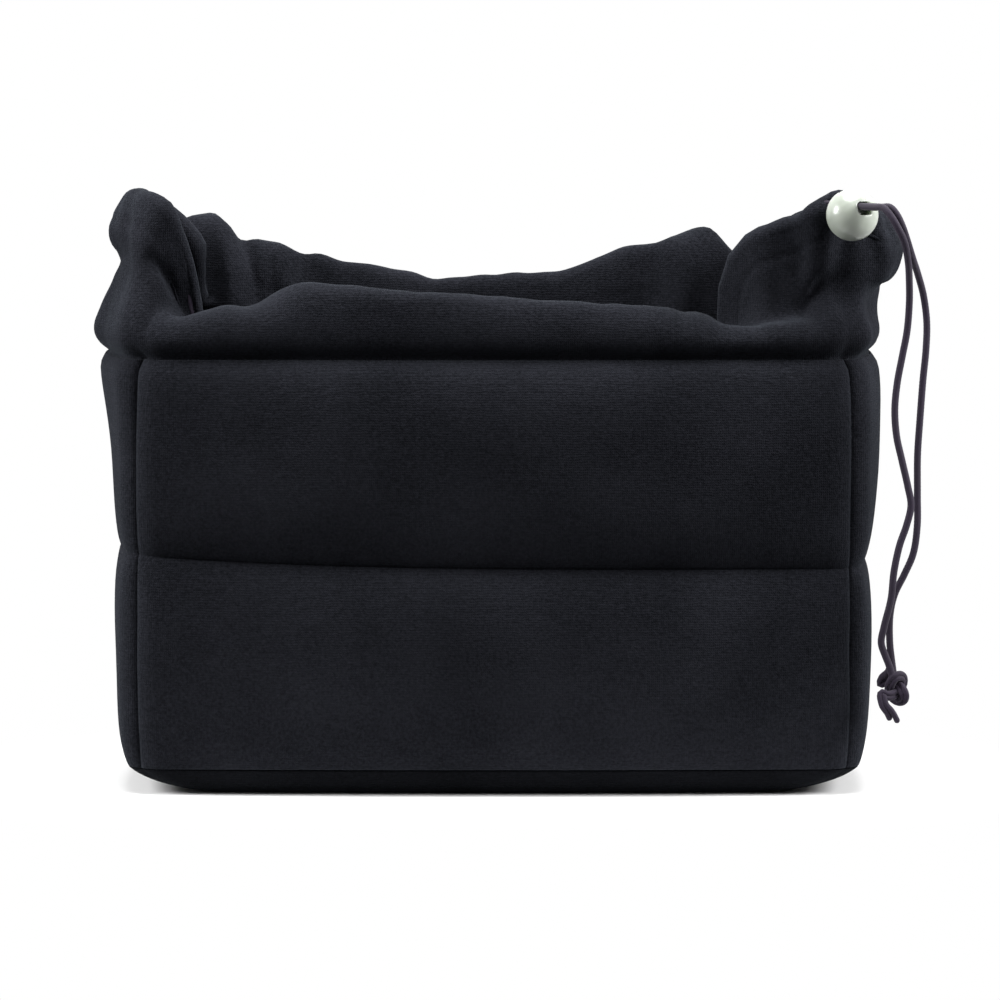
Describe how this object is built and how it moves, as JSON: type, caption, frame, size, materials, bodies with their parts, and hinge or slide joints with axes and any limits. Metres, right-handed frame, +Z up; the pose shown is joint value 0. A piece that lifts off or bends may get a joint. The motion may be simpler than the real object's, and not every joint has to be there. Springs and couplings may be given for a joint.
{
  "type": "padded bag insert",
  "caption": "Black padded insert for a camera bag: a quilted box with loose dividers, and a drawstring collar gathered round its mouth with a ball cord lock.",
  "frame": {"origin": "centre of the flat face the insert stands on", "axes": "+Z up, +X along the length to the cord lock's end, -Y out of the front wall"},
  "size_m": [0.3048, 0.1469, 0.2202],
  "materials": {
    "cloth": "soft matt knitted cloth",
    "lining": "brushed loop lining",
    "foam": "closed-cell foam",
    "hook_strip": "woven hook strip",
    "cord": "braided cord",
    "milky_plastic": "translucent moulded plastic",
    "steel": "spring wire"
  },
  "bodies": {
    "insert": {"outer_front": "cloth", "foam_front_lower": "foam", "foam_front_upper": "foam", "lining_front": "lining", "outer_right": "cloth", "foam_right_lower": "foam", "foam_right_upper": "foam", "lining_right": "lining", "outer_back": "cloth", "foam_back_lower": "foam", "foam_back_upper": "foam", "lining_back": "lining", "outer_left": "cloth", "foam_left_lower": "foam", "foam_left_upper": "foam", "lining_left": "lining", "outer_bottom": "cloth", "foam_bottom": "foam", "lining_bottom": "lining", "collar": "cloth", "drawcord_in_hem": "cord", "drawcord_strand_outer": "cord", "drawcord_strand_inner": "cord", "drawcord_knot": "cord"},
    "divider_left": {"divider_left_cover": "lining", "divider_left_foam": "foam", "divider_left_hook_front": "hook_strip", "divider_left_hook_back": "hook_strip"},
    "divider_right": {"divider_right_cover": "lining", "divider_right_foam": "foam", "divider_right_hook_front": "hook_strip", "divider_right_hook_back": "hook_strip"},
    "cord_lock": {"cord_lock_body": "milky_plastic", "cord_lock_spring": "steel"},
    "plunger": {"cord_lock_plunger": "milky_plastic"}
  },
  "joints": [
    {"name": "divider_left_lift", "type": "slide", "parent": "insert", "child": "divider_left", "axis": [0, 0, 1], "range_m": [0, 0.18]},
    {"name": "divider_right_lift", "type": "slide", "parent": "insert", "child": "divider_right", "axis": [0, 0, 1], "range_m": [0, 0.18]},
    {"name": "cord_lock_slide", "type": "slide", "parent": "insert", "child": "cord_lock", "axis": [0.5, -0.866, 0], "range_m": [0, 0.006]},
    {"name": "plunger_press", "type": "slide", "parent": "cord_lock", "child": "plunger", "axis": [0, 0, -1], "range_m": [0, 0.0016], "stiffness_N_per_m": 800, "springref_m": -0.001, "deforming": ["cord_lock_spring"]}
  ]
}
